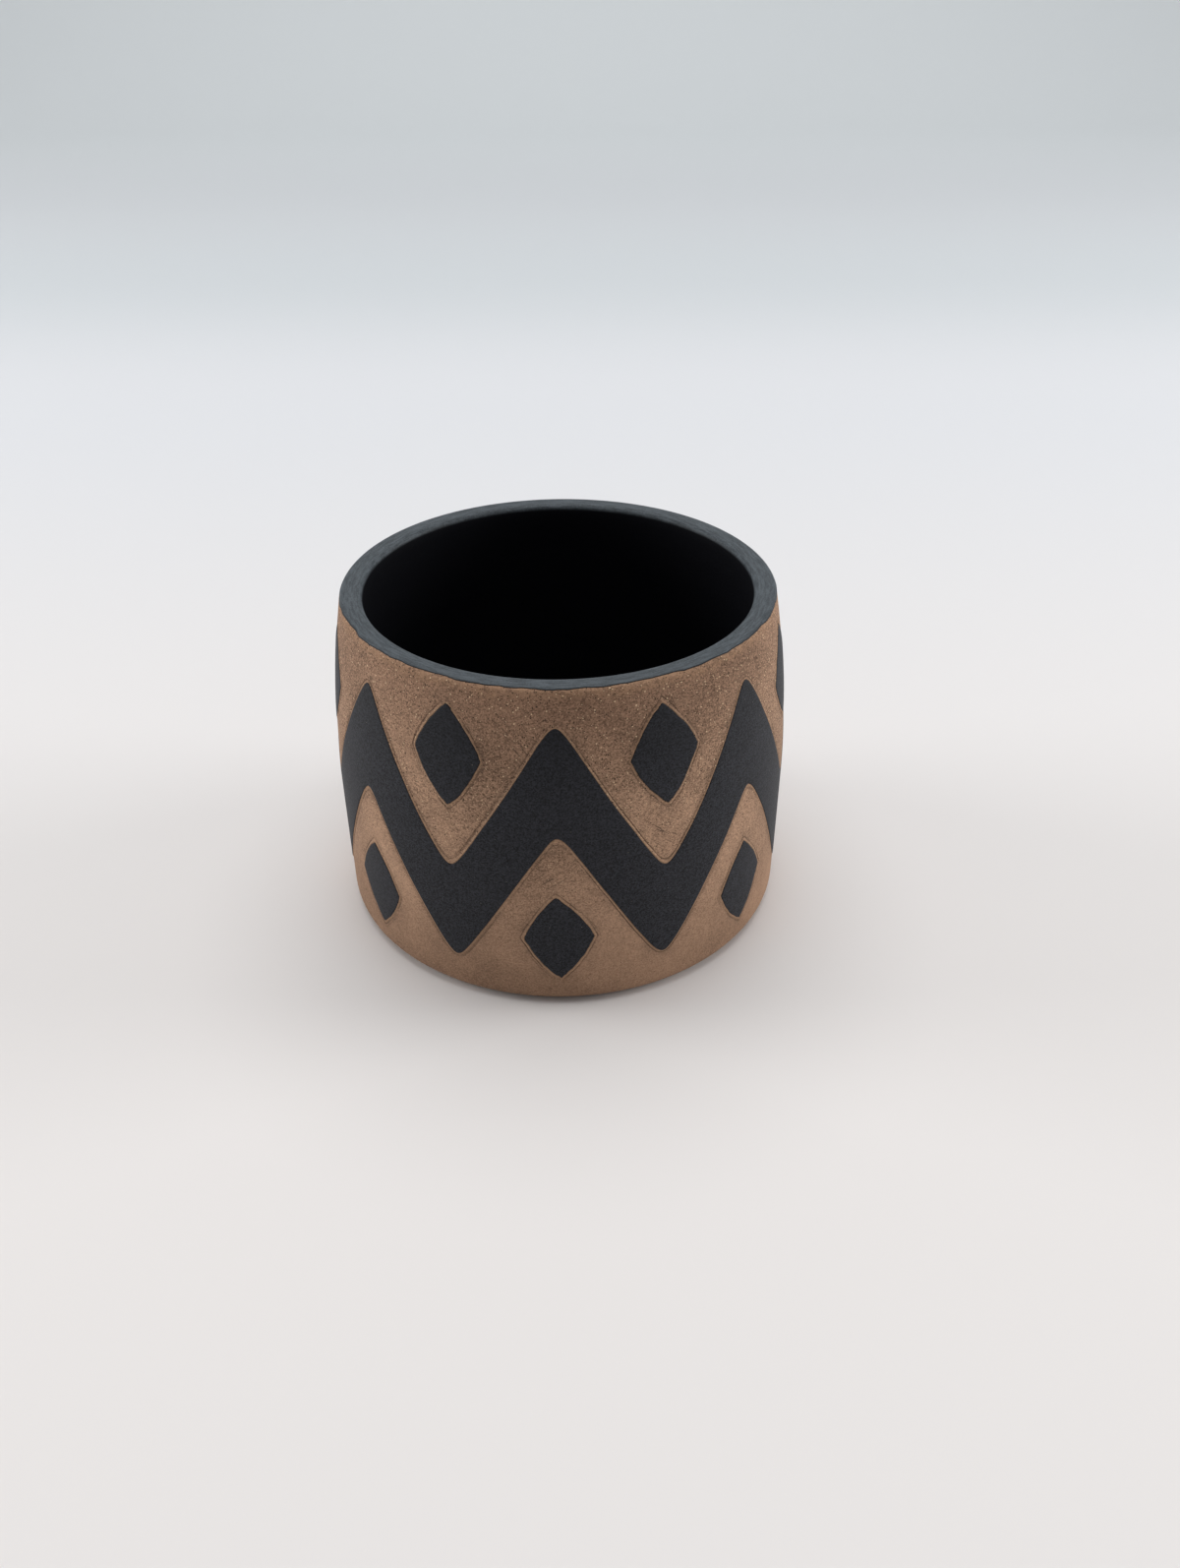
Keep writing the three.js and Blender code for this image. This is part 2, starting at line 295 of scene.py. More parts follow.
# Round each lozenge a window of the grid gives way to rings that run from the window's frame in to the
# outline, go through the same cut and recess, and close at the middle.
WINDOW_COLUMNS = COLUMNS // REPEATS // 4
WINDOW_ROWS = 13
next_point = floor_pole + 1
for field in lozenges():
    field_turn = field["phase"] / REPEATS
    first_row = upper_bay + BAY_ROWS - WINDOW_ROWS if field["row"] == "upper" else lower_bay
    last_row = first_row + WINDOW_ROWS
    middle_column = round(field["phase"] / (2 * np.pi) * COLUMNS / REPEATS)
    left, right = middle_column - WINDOW_COLUMNS, middle_column + WINDOW_COLUMNS
    kept_cells[first_row:last_row, np.arange(left, right) % COLUMNS] = False
    window_width = right - left
    frame_rows = np.r_[
        np.full(window_width, first_row),
        first_row:last_row,
        np.full(window_width, last_row),
        last_row:first_row:-1,
    ]
    frame_columns = np.r_[
        left:right, np.full(WINDOW_ROWS, right), right:left:-1, np.full(WINDOW_ROWS, left)
    ] % COLUMNS
    frame_z = body_grid[frame_rows, frame_columns, 2]
    frame_off = np.remainder(angle[frame_columns] - field_turn + np.pi, 2 * np.pi) - np.pi
    across = frame_off * wall_radius(field["middle"]) / field["half"][0]
    spoke = np.arctan2((frame_z - field["middle"]) / field["half"][1], across)
    spoke[np.abs(spoke).argmin()] = 0
    spoke[np.abs(spoke).argmax()] = np.pi

    cut_turn, cut_z = lozenge_outline(field, spoke, CUT_REACH)
    patch = []
    for share in (0.25, 0.5, 0.75, 1.0):
        ring_turn = field_turn + frame_off + share * (cut_turn - field_turn - frame_off)
        ring_z = frame_z + share * (cut_z - frame_z)
        patch.append(around(ring_turn, wall_radius(ring_z) - GROUND_DEPTH, ring_z))
    for distance in cut_steps[-2::-1]:
        ring_turn, ring_z = lozenge_outline(field, spoke, distance)
        depth = scraped_depth(distance, spoke + field["seed"])
        patch.append(around(ring_turn, wall_radius(ring_z) - depth, ring_z))
    start, full = RECESS_INSETS
    recess = [(start, 1, RECESS_CORNER)] + [(full, share, RECESS_DEPTH) for share in (1, 0.6, 0.25)]
    for inset, share, depth in recess:
        ring_turn, ring_z = lozenge_outline(field, spoke, -inset, share)
        patch.append(around(ring_turn, wall_radius(ring_z) - depth, ring_z))
    patch_index = next_point + np.arange(len(patch) * len(spoke)).reshape(len(patch), -1)
    middle_point = next_point + patch_index.size
    next_point = middle_point + 1
    middle_radius = wall_radius(field["middle"]) - RECESS_DEPTH
    body_points += [*patch, around([field_turn], middle_radius, field["middle"])]
    body_faces.append(quads(np.vstack([body_index[frame_rows, frame_columns], patch_index])).reshape(-1, 4))
    body_faces.append(fan(patch_index[-1], middle_point))

body_points = np.concatenate(body_points)
body_faces.append(body_cells[kept_cells])

# Where a tool slipped and left fine black scratches: angle in degrees, height and direction in degrees.
SCRATCHES = ((-99, 57, -50), (-91, 31, 35), (-65, 37, -40), (38, 52, -60), (141, 30, 50))
SCRATCH_LENGTH = 4.0
SCRATCH_SPREAD = 1.8
STAIN_REACH = 1.6  # within which the dark stain beside a field fades and the painted highlight on the rim's outer round, under the glaze's edge
RIM_HIGHLIGHT_REACH = 0.4  # and the toasted clay under the glaze's edge
WALL_IN_HALF_WIDTHS = 7  # the wall's radius over half a lozenge's width, rounded


def marks_on(points):
    """What each point of the clay shows, from 0 to 1: the lip beside a field, which is painted pale as a
    highlight, and the scored lines beside it, the dark stain that fades away from it, the painted highlight
    on the rim's outer round under the glaze's edge, and the scratches, which fade as bell curves along and
    across. The scratches' two coordinates, in millimetres, go with them."""
    turn, z = np.arctan2(points[:, 1], points[:, 0]), points[:, 2]
    turned_phase = turn * REPEATS
    below = (band_edge(turned_phase, -1) - z) / edge_climb(turned_phase, -1)
    above = (z - band_edge(turned_phase, 1)) / edge_climb(turned_phase, 1)
    distance = np.maximum(below, above)
    lines = scored(distance, turn)
    for field in lozenges():
        apart = lozenge_distance(field, turn, z)
        sideways = np.sin(turn - field["phase"] / REPEATS) * WALL_IN_HALF_WIDTHS
        spoke = np.arctan2((z - field["middle"]) / field["half"][1], sideways)
        lines = np.where(apart < distance, scored(apart, spoke + field["seed"]), lines)
        distance = np.minimum(distance, apart)
    outside = np.hypot(*points[:, :2].T) > rim_inner
    scratch, along, across = np.zeros((3, len(points)))
    for degrees, height, direction in SCRATCHES:
        off = np.remainder(turn - np.radians(degrees) + np.pi, 2 * np.pi) - np.pi
        x, y = off * BELLY_RADIUS, z - height
        cos, sin = np.cos(np.radians(direction)), np.sin(np.radians(direction))
        here_along, here_across = x * cos + y * sin, y * cos - x * sin
        here = np.exp(-((here_along / SCRATCH_LENGTH) ** 2) - (here_across / SCRATCH_SPREAD) ** 2)
        nearer = here > scratch
        scratch = np.where(nearer, here, scratch)
        along = np.where(nearer, here_along + degrees, along)
        across = np.where(nearer, here_across, across)
    return {
        "lip": np.exp(-(((distance - LIP_PLACE) / LIP_WIDTH) ** 2)),
        "scored": lines,
        "stain": np.exp(-np.clip(distance, 0, None) / STAIN_REACH),
        "rim_highlight": np.exp(-np.clip(wall_top - z, 0, None) / RIM_HIGHLIGHT_REACH) * outside,
        "scratch": scratch,
        "scratch_along": along,
        "scratch_across": across,
    }


def piece(name, points, faces, finish, attributes=None):
    """A smooth mesh from points in millimetres and arrays of faces. It rides on the tumbler's one body."""
    mesh = bpy.data.meshes.new(name)
    mesh.from_pydata((points * MM).tolist(), [], [face for block in faces for face in block.tolist()])
    mesh.shade_smooth()
    for label, values in (attributes or {}).items():
        mesh.attributes.new(label, "FLOAT", "POINT").data.foreach_set("value", values.astype(np.float32))
    mesh.materials.append(finish)
    made = bpy.data.objects.new(name, mesh)
    bpy.context.scene.collection.objects.link(made)
    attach(made, "root")
    return made


def linear(code):
    """An sRGB hex colour as linear red, green, blue and alpha."""
    values = np.array([int(code[i : i + 2], 16) for i in (1, 3, 5)]) / 255
    return (*np.where(values > 0.04045, ((values + 0.055) / 1.055) ** 2.4, values / 12.92), 1.0)


def node(tree, kind, inputs=None, output=None, **settings):
    """Adds a shader node with its settings, sets or links its inputs, and gives the named or first output."""
    made = tree.nodes.new("ShaderNode" + kind)
    for name, value in settings.items():
        setattr(made, name, value)
    for socket, value in (inputs or {}).items():
        if isinstance(value, bpy.types.NodeSocket):
            tree.links.new(value, made.inputs[socket])
        else:
            made.inputs[socket].default_value = value
    return made.outputs[output] if output else next(socket for socket in made.outputs if socket.enabled)


def finish_of(name):
    """A new material, its node tree, and the place on the surface in millimetres."""
    made = bpy.data.materials.new(name)
    made.use_nodes = True
    tree = made.node_tree
    place = node(tree, "TexCoord", output="Object")
    place = node(tree, "VectorMath", {0: place, "Scale": 1 / MM}, operation="SCALE")
    return made, tree, place


def dress(tree, colour, relief, roughness, gloss):
    """Links a colour, and a relief in millimetres if it has one, to a material's Principled shader, and sets
    the shader's roughness and specular level."""
    shader = tree.nodes["Principled BSDF"]
    tree.links.new(colour, shader.inputs["Base Color"])
    if relief is not None:
        bump = node(tree, "Bump", {"Height": relief, "Distance": MM})
        tree.links.new(bump, shader.inputs["Normal"])
    shader.inputs["Roughness"].default_value = roughness
    shader.inputs["Specular IOR Level"].default_value = gloss


FRONT_SHADE_PLACE = (0.0, -20.0, 67.0)  # painted shade: the wall is darkened round this place, in front near the rim
FRONT_SHADE_REACH = 60.0
FRONT_SHADE_FLATTENED = 2.5  # it reached this many times less far downwards
FRONT_SHADE_SHARE = 0.8


def front_shaded(tree, place, colour, tint):
    """A colour under painted shade, which darkens the wall in front near the rim: times a tint, by a share
    that falls in a straight line from its full share at the shaded place to 0 at its reach, where a step down
    counts as many times over as the flattening sets."""
    away = node(tree, "VectorMath", {0: place, 1: FRONT_SHADE_PLACE}, operation="SUBTRACT")
    away = node(tree, "VectorMath", {0: away, 1: (1.0, 1.0, FRONT_SHADE_FLATTENED)}, operation="MULTIPLY")
    away = node(tree, "VectorMath", {0: away}, "Value", operation="LENGTH")
    share = {"Value": away, "From Max": FRONT_SHADE_REACH, "To Min": FRONT_SHADE_SHARE, "To Max": 0.0}
    tinted = {0: node(tree, "MapRange", share), 6: colour, 7: linear(tint)}
    return node(tree, "Mix", tinted, "Result", data_type="RGBA", blend_type="MULTIPLY")


# Unglazed stoneware with sand in it, scraped and sponged: dry and brown, with no gloss. Grains of sand
# about 0.2 mm across show as pale specks, and the holes that others left show as dark pits of the same
# size. The sponge left the lower wall smoother than the upper, and painted shade darkens the clay towards the
# foot.
CLAY_DARK, CLAY_PALE = "#3b281c", "#d7ae8f"
FRONT_SHADE_ON_CLAY = "#907e79"
FOOT_SHADE_TINT = "#e4e1de"
STAIN_COLOUR = "#51443a"
# painted highlight on the rim's outer round, which faces up
RIM_HIGHLIGHT_COLOUR = "#a98668"
LIP_HIGHLIGHT_COLOUR = "#a9876a"
SCORED_COLOUR = "#45362b"
SCRATCH_COLOUR = "#3b3129"
PIT_COLOUR = "#33271f"
SPECK_COLOUR = "#e8cba6"
TONES_PER_MM = 0.06  # each pattern's scale is how many of its spots go into a millimetre
PATCHES_PER_MM = 0.4
MOTTLES_PER_MM = 0.8
CLOUDS_PER_MM = 3.0
GRAINS_PER_MM = 4.5
PITS_PER_MM = 2.8
SPECKS_PER_MM = 2.3
HAIRS_ALONG_PER_MM = 0.22
HAIRS_ACROSS_PER_MM = 2.6
SPONGED_SMOOTH, SPONGED_ROUGH = 8.0, 48.0  # the sponge's work fades between these heights
SPONGED_SHARE = 0.55
FOOT_SHADE_TO = 22.0
GRAIN_SHARE, MOTTLE_SHARE, TONE_SHARE = 0.74, 0.1, 0.2  # of the way from the dark clay to the pale
STAIN_SHARE = 0.45
RIM_HIGHLIGHT_SHARE = 0.6
LIP_HIGHLIGHT_SHARE = 0.6
SCORED_SHARE = 0.8
PIT_SIZE = 0.38  # the largest one's radius, as a share of how far apart they are
SPECK_SIZE = 0.31
GRAIN_HEIGHT, SPECK_HEIGHT, PIT_DEPTH, SCRATCH_DEPTH = 0.04, 0.02, 0.06, 0.03
stoneware, tree, place = finish_of("unglazed speckled stoneware")
tone = node(tree, "TexNoise", {"Vector": place, "Scale": TONES_PER_MM, "Detail": 2.0, "Roughness": 0.5})
tone = node(tree, "MapRange", {"Value": tone, "From Min": 0.35, "From Max": 0.65})
mottle = node(tree, "TexNoise", {"Vector": place, "Scale": MOTTLES_PER_MM, "Detail": 3.0, "Roughness": 0.6})
mottle = node(tree, "MapRange", {"Value": mottle, "From Min": 0.3, "From Max": 0.7})
cloud = node(tree, "TexNoise", {"Vector": place, "Scale": CLOUDS_PER_MM, "Detail": 2.0, "Roughness": 0.6})
cloud = node(tree, "MapRange", {"Value": cloud, "From Min": 0.3, "From Max": 0.7})
grain = node(tree, "TexVoronoi", {"Vector": place, "Scale": GRAINS_PER_MM}, "Color")
grain = node(tree, "SeparateColor", {"Color": grain}, "Red")
grain = node(tree, "Mix", {0: 0.7, 2: cloud, 3: grain}, "Result")
height = node(tree, "SeparateXYZ", {"Vector": place}, "Z")
sponged = {"Value": height, "From Min": SPONGED_SMOOTH, "From Max": SPONGED_ROUGH}
sponged = node(tree, "MapRange", sponged | {"To Min": SPONGED_SHARE, "To Max": 0.0})
grain = node(tree, "Mix", {0: sponged, 2: grain, 3: 0.5}, "Result")
blend = node(tree, "Math", {0: grain, 1: GRAIN_SHARE}, operation="MULTIPLY")
blend = node(tree, "Math", {0: mottle, 1: MOTTLE_SHARE, 2: blend}, operation="MULTIPLY_ADD")
blend = node(tree, "Math", {0: tone, 1: TONE_SHARE, 2: blend}, operation="MULTIPLY_ADD")
colour = {0: blend, 6: linear(CLAY_DARK), 7: linear(CLAY_PALE)}
colour = node(tree, "Mix", colour, "Result", data_type="RGBA")
# painted shade: the clay is darkened in front near the rim
colour = front_shaded(tree, place, colour, FRONT_SHADE_ON_CLAY)
# painted shade: the clay is darkened towards the foot
foot_shade = {"Value": height, "From Max": FOOT_SHADE_TO, "To Min": 1.0, "To Max": 0.0}
colour = {0: node(tree, "MapRange", foot_shade), 6: colour, 7: linear(FOOT_SHADE_TINT)}
colour = node(tree, "Mix", colour, "Result", data_type="RGBA", blend_type="MULTIPLY")

stain = node(tree, "Attribute", output="Fac", attribute_name="stain")
patches = {"Vector": place, "Scale": PATCHES_PER_MM, "Detail": 3.0, "Roughness": 0.6}
patches = node(tree, "TexNoise", patches)
patches = {"Value": patches, "From Min": 0.4, "From Max": 0.7, "To Max": STAIN_SHARE}
patches = node(tree, "MapRange", patches)
stain = node(tree, "Math", {0: stain, 1: patches}, operation="MULTIPLY")
colour = node(tree, "Mix", {0: stain, 6: colour, 7: linear(STAIN_COLOUR)}, "Result", data_type="RGBA")
# painted highlight: the clay on the rim's outer round, under the glaze's edge, is painted paler
rim_highlight = node(tree, "Attribute", output="Fac", attribute_name="rim_highlight")
rim_highlight = node(tree, "Math", {0: rim_highlight, 1: mottle}, operation="MULTIPLY")
rim_highlight = node(tree, "Math", {0: rim_highlight, 1: RIM_HIGHLIGHT_SHARE}, operation="MULTIPLY")
colour = node(tree, "Mix", {0: rim_highlight, 6: colour, 7: linear(RIM_HIGHLIGHT_COLOUR)}, "Result", data_type="RGBA")
# painted highlight: the clay along the lip beside each field is painted paler
lip = node(tree, "Attribute", output="Fac", attribute_name="lip")
lip = node(tree, "Math", {0: lip, 1: LIP_HIGHLIGHT_SHARE}, operation="MULTIPLY")
colour = node(tree, "Mix", {0: lip, 6: colour, 7: linear(LIP_HIGHLIGHT_COLOUR)}, "Result", data_type="RGBA")
lines = node(tree, "Attribute", output="Fac", attribute_name="scored")
lines = node(tree, "Math", {0: lines, 1: SCORED_SHARE}, operation="MULTIPLY")
colour = node(tree, "Mix", {0: lines, 6: colour, 7: linear(SCORED_COLOUR)}, "Result", data_type="RGBA")

scratch = node(tree, "Attribute", output="Fac", attribute_name="scratch")
along = node(tree, "Attribute", output="Fac", attribute_name="scratch_along")
across = node(tree, "Attribute", output="Fac", attribute_name="scratch_across")
along = node(tree, "Math", {0: along, 1: HAIRS_ALONG_PER_MM}, operation="MULTIPLY")
across = node(tree, "Math", {0: across, 1: HAIRS_ACROSS_PER_MM}, operation="MULTIPLY")
hairs = node(tree, "CombineXYZ", {"X": along, "Y": across})
hairs = node(tree, "TexNoise", {"Vector": hairs, "Scale": 1.0, "Detail": 2.0, "Roughness": 0.6})
hairs = node(tree, "MapRange", {"Value": hairs, "From Min": 0.55, "From Max": 0.66})
scratch = node(tree, "Math", {0: scratch, 1: hairs}, operation="MULTIPLY")
colour = node(tree, "Mix", {0: scratch, 6: colour, 7: linear(SCRATCH_COLOUR)}, "Result", data_type="RGBA")

pits = node(tree, "TexVoronoi", {"Vector": place, "Scale": PITS_PER_MM})
chance = node(tree, "SeparateColor", {"Color": pits.node.outputs["Color"]}, "Red")
chance = node(tree, "Math", {0: tone, 1: 0.15, 2: chance}, operation="MULTIPLY_ADD")
chance = node(tree, "Math", {0: sponged, 1: -0.5, 2: chance}, operation="MULTIPLY_ADD")
size = node(tree, "MapRange", {"Value": chance, "From Min": 0.5, "From Max": 1.0, "To Max": PIT_SIZE})
ragged = node(tree, "Math", {0: grain, 1: 0.14, 2: pits}, operation="MULTIPLY_ADD")
pit = node(tree, "Math", {0: ragged, 1: size}, operation="LESS_THAN")
colour = node(tree, "Mix", {0: pit, 6: colour, 7: linear(PIT_COLOUR)}, "Result", data_type="RGBA")
specks = node(tree, "TexVoronoi", {"Vector": place, "Scale": SPECKS_PER_MM})
chance = node(tree, "SeparateColor", {"Color": specks.node.outputs["Color"]}, "Green")
chance = node(tree, "Math", {0: sponged, 1: -0.4, 2: chance}, operation="MULTIPLY_ADD")
size = node(tree, "MapRange", {"Value": chance, "From Min": 0.7, "From Max": 1.0, "To Max": SPECK_SIZE})
speck = node(tree, "Math", {0: specks, 1: size}, operation="LESS_THAN")
colour = node(tree, "Mix", {0: speck, 6: colour, 7: linear(SPECK_COLOUR)}, "Result", data_type="RGBA")

relief = node(tree, "Math", {0: grain, 1: GRAIN_HEIGHT}, operation="MULTIPLY")
relief = node(tree, "Math", {0: pit, 1: -PIT_DEPTH, 2: relief}, operation="MULTIPLY_ADD")
relief = node(tree, "Math", {0: speck, 1: SPECK_HEIGHT, 2: relief}, operation="MULTIPLY_ADD")
relief = node(tree, "Math", {0: scratch, 1: -SCRATCH_DEPTH, 2: relief}, operation="MULTIPLY_ADD")
dress(tree, colour, relief, roughness=0.88, gloss=0.25)

marks = marks_on(body_points)
clay_body = piece("tumbler_clay_body", body_points, body_faces, stoneware, marks)
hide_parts("clay_body")

# Black slip fields. Liquid clay stained black, laid on the leather-hard wall before the ground was scraped
# back, so each field stands a hair above the ground, with a small round at its edge: a zigzag band and the
# lozenges.
SLIP_ROUND = 0.12
SLIP_THICK = 0.55
edge_turn = np.radians(np.linspace(0, 90, 5))
slip_insets = np.append(0, SLIP_ROUND * (1 - np.cos(edge_turn)))
slip_depths = np.append(SLIP_THICK, SLIP_ROUND * (1 - np.sin(edge_turn)))

# Vitrified black slip: dense and smooth but not glassy, so it has a broad, weak sheen. Ground clay leaves a
# faint grain about 0.2 mm across in it, and a little pale sand, and the brush left streaks round the wall.
SLIP_DARK, SLIP_PALE = "#000000", "#35363c"
FRONT_SHADE_ON_SLIP = "#5c5c60"
SAND_COLOUR = "#66625c"
SLIP_CLOUDS_PER_MM = 0.12
BRUSH_STREAKS_PER_MM = (0.15, 0.15, 3.0)  # across both level ways, and up the wall
SAND_PER_MM = 1.2
SAND_SIZE = 0.13
SLIP_CLOUD_SHARE, SLIP_GRAIN_SHARE, SLIP_STREAK_SHARE = 0.15, 0.8, 0.15
SLIP_RELIEF = 0.03
black_slip, tree, place = finish_of("vitrified black slip")
cloud = {"Vector": place, "Scale": SLIP_CLOUDS_PER_MM, "Detail": 3.0, "Roughness": 0.6}
cloud = node(tree, "TexNoise", cloud)
grain = node(tree, "TexVoronoi", {"Vector": place, "Scale": GRAINS_PER_MM}, "Color")
grain = node(tree, "SeparateColor", {"Color": grain}, "Red")
streaks = node(tree, "VectorMath", {0: place, 1: BRUSH_STREAKS_PER_MM}, operation="MULTIPLY")
streaks = node(tree, "TexNoise", {"Vector": streaks, "Scale": 1.0, "Detail": 2.0})
blend = node(tree, "Math", {0: cloud, 1: SLIP_CLOUD_SHARE}, operation="MULTIPLY")
blend = node(tree, "Math", {0: grain, 1: SLIP_GRAIN_SHARE, 2: blend}, operation="MULTIPLY_ADD")
blend = node(tree, "Math", {0: streaks, 1: SLIP_STREAK_SHARE, 2: blend}, operation="MULTIPLY_ADD")
colour = {0: blend, 6: linear(SLIP_DARK), 7: linear(SLIP_PALE)}
colour = node(tree, "Mix", colour, "Result", data_type="RGBA")
# painted shade: the slip is darkened in front near the rim
colour = front_shaded(tree, place, colour, FRONT_SHADE_ON_SLIP)
sand = node(tree, "TexVoronoi", {"Vector": place, "Scale": SAND_PER_MM})
chance = node(tree, "SeparateColor", {"Color": sand.node.outputs["Color"]}, "Red")
size = node(tree, "MapRange", {"Value": chance, "From Min": 0.88, "From Max": 1.0, "To Max": SAND_SIZE})
sand = node(tree, "Math", {0: sand, 1: size}, operation="LESS_THAN")
colour = node(tree, "Mix", {0: sand, 6: colour, 7: linear(SAND_COLOUR)}, "Result", data_type="RGBA")
relief = node(tree, "Math", {0: grain, 1: SLIP_RELIEF}, operation="MULTIPLY")
relief = node(tree, "Math", {0: streaks, 1: SLIP_RELIEF, 2: relief}, operation="MULTIPLY_ADD")
dress(tree, colour, relief, roughness=0.6, gloss=0.18)

into_slip = list(zip(slip_insets, slip_depths))
band_face = [(lower_edge + inset * lower_climb, depth) for inset, depth in into_slip]
for share in np.linspace(0, 1, 14)[1:-1]:
    band_face.append((lower_edge + share * (upper_edge - lower_edge), 0.0))
band_face += [(upper_edge - inset * upper_climb, depth) for inset, depth in into_slip[::-1]]
for share in np.linspace(1, 0, 5)[1:-1]:
    band_face.append((lower_edge + share * (upper_edge - lower_edge), SLIP_THICK))
band_grid = np.stack([wall_ring(z, depth) for z, depth in band_face])
band_index = np.arange(len(band_face) * COLUMNS).reshape(-1, COLUMNS)
band_quads = quads(np.vstack([band_index, band_index[:1]])).reshape(-1, 4)
band = piece("slip_band", band_grid.reshape(-1, 3), [band_quads], black_slip)
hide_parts("slip_zigzag_band")

SPOKES = 112
spoke = np.linspace(0, 2 * np.pi, SPOKES, endpoint=False)
lozenge_rings = [(-SLIP_ROUND, share, 0.0) for share in (0.2, 0.45, 0.7, 0.9)]
lozenge_rings += [(-inset, 1.0, depth) for inset, depth in into_slip[::-1]]
lozenge_rings += [(0.0, share, SLIP_THICK) for share in (0.66, 0.33)]
for field in lozenges():
    points = []
    for grow, share, depth in lozenge_rings:
        ring_turn, ring_z = lozenge_outline(field, spoke, grow, share)
        points.append(around(ring_turn, wall_radius(ring_z) - depth, ring_z))
    middle_radii = wall_radius(field["middle"]) - np.array([0, SLIP_THICK])
    points.append(around(field["phase"] / REPEATS, middle_radii, field["middle"]))
    index = np.arange(len(lozenge_rings) * SPOKES).reshape(-1, SPOKES)
    front_pole, back_pole = index.size, index.size + 1
    faces = [quads(index[::-1]).reshape(-1, 4), fan(index[0], front_pole), fan(index[-1, ::-1], back_pole)]
    coat = piece(field["node"] + "_coat", np.concatenate(points), faces, black_slip)
    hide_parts(field["node"])

# Lining glaze. A matt black glaze, poured in and swilled round, then wiped off the rim's outer corner,
# where it ends in a ragged edge: higher on the side that faces the camera, lower behind. It lies thin on
# the flat of the rim, and thick inside.
GLAZE = 0.4
EDGE_FRONT = 64.0  # where it ends on the corner's round, in degrees up from the wall, in front and behind
EDGE_BEHIND = 14.0
EDGE_LIMITS = (4, 74)
EDGE_WANDER = 4
EDGE_RAGGED = 7
RIM_INNER_FACE = 1.15
RIPPLE = 0.05  # throwing rings inside, and how far apart
RIPPLE_STEP = 6.5
SUNK = 0.02  # its underside lies this far inside the clay

# The outer corner's rings climb from the edge, the first of them tucked into the clay, by some degrees and
# then by shares of what is left to the top of the round, and the skin thickens as it climbs.
to_front = np.clip(-1.4 * np.sin(angle), 0, 1)
edge_at = EDGE_BEHIND + (EDGE_FRONT - EDGE_BEHIND) * to_front**0.7
edge_at = edge_at + wander(angle, 41, EDGE_WANDER) + wander(angle * 4, 42, EDGE_RAGGED)
edge_at = np.clip(edge_at, *EDGE_LIMITS)
corner_rings = []
corner_steps = [(0, 0, -0.05), (0, 0, 0.03), (9, 0, 0.07)]
corner_steps += [(15, share, 0.08 + 0.02 * share) for share in (0, 0.2, 0.4, 0.6, 0.8, 1)]
for climb, share, thick in corner_steps:
    turn_up = np.radians(edge_at + climb + share * (90 - edge_at - climb))
    radius = rim_outer - RIM_OUTER_ROUND + (RIM_OUTER_ROUND + thick) * np.cos(turn_up)
    corner_rings.append(around(angle, radius, wall_top + (RIM_OUTER_ROUND + thick) * np.sin(turn_up)))
face_inner = rim_inner - GLAZE
flat_radii = np.linspace(rim_outer - RIM_OUTER_ROUND, face_inner + RIM_INNER_FACE, 5)[1:-1]
inner_turn = np.linspace(90, 180, 13)
face_z = np.linspace(HEIGHT - RIM_INNER_FACE, corner_top, 30)[1:-1]
ripple = RIPPLE * (1 + np.sin(face_z * 2 * np.pi / RIPPLE_STEP)) / 2
glaze_rings = corner_rings + turned(np.concatenate([
    [[radius, HEIGHT] for radius in flat_radii],
    arc(face_inner + RIM_INNER_FACE, HEIGHT - RIM_INNER_FACE, RIM_INNER_FACE, 90, 180, 12),
    np.stack([wall_radius(face_z) - CLAY_WALL - GLAZE - ripple, face_z], axis=-1),
    arc(corner_middle, corner_top, FLOOR_CORNER - GLAZE, 0, -90, 14),
    [[radius, FLOOR_TOP + GLAZE] for radius in (28, 23, 18, 13, 8, 3)],
]))
face_rows = len(glaze_rings)
glaze_rings += turned(np.concatenate([
    [[radius, FLOOR_TOP - SUNK] for radius in (3, 16)],
    arc(corner_middle, corner_top, FLOOR_CORNER + SUNK, -90, 0, 5),
    np.stack([wall_radius(inner_z[::-1]) - CLAY_WALL + SUNK, inner_z[::-1]], axis=-1),
    arc(rim_inner + RIM_INNER_ROUND, CLAY_TOP - RIM_INNER_ROUND, RIM_INNER_ROUND - SUNK, 180, 90, 4),
    [[rim_outer - RIM_OUTER_ROUND - RIM_STEP_IN - 0.1, CLAY_TOP - SUNK]],
]))
glaze_grid = np.stack(glaze_rings)
glaze_index = np.arange(len(glaze_rings) * COLUMNS).reshape(-1, COLUMNS)
glaze_poles = [[0, 0, FLOOR_TOP + GLAZE], [0, 0, FLOOR_TOP - SUNK]]
glaze_points = np.concatenate([glaze_grid.reshape(-1, 3), glaze_poles])
glaze_faces = [
    quads(glaze_index[:face_rows]).reshape(-1, 4),
    quads(np.vstack([glaze_index[face_rows:], glaze_index[:1]])).reshape(-1, 4),
    fan(glaze_index[face_rows - 1], glaze_index.size),
    fan(glaze_index[face_rows, ::-1], glaze_index.size + 1),
]

# How much painted sheen each ring has: none at its edge, full on the rim, and less and less down the inner
# round as it turns from facing up.
edge_sheen = [0, 0, 0.3]
rim_sheen = np.ones(len(corner_steps) - len(edge_sheen) + len(flat_radii))
inner_sheen = np.clip(1.8 * np.sin(np.radians(inner_turn)), 0, 1)
ring_sheen = np.concatenate([edge_sheen, rim_sheen, inner_sheen])
glaze_sheen = np.zeros(len(glaze_points))
glaze_sheen[: len(ring_sheen) * COLUMNS] = np.repeat(ring_sheen, COLUMNS)

